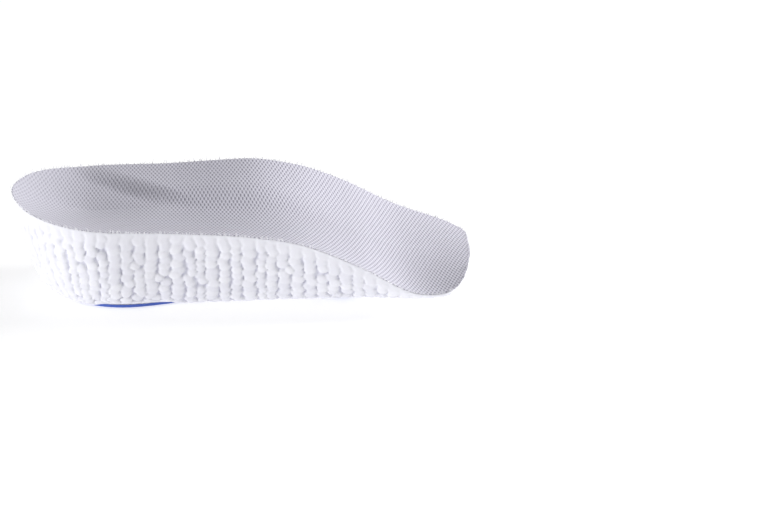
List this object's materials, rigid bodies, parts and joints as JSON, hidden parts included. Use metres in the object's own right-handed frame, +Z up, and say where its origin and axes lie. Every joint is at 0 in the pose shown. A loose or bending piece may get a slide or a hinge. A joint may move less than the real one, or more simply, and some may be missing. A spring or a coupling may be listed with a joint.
{
  "type": "height-raising cushioned insole",
  "caption": "Three-quarter length cushioned insole wedge with a dished mesh-covered top and a moulded heel pad set into its sole.",
  "frame": {"origin": "bottom centre of the insole's box, on the surface that it stands on", "axes": "+X from heel to toe, +Y to the inner (medial) side of the right foot, +Z up"},
  "size_m": [0.1798, 0.078, 0.0416],
  "materials": {
    "bead_foam": "satin",
    "mesh_fabric": "matte",
    "adhesive_film": "matte",
    "blue_elastomer": "matte"
  },
  "bodies": {
    "root": {"foam_wedge": "bead_foam", "top_cover": "mesh_fabric", "cover_bond_film": "adhesive_film", "support_insert": "blue_elastomer", "insert_bond_film": "adhesive_film"}
  },
  "joints": []
}
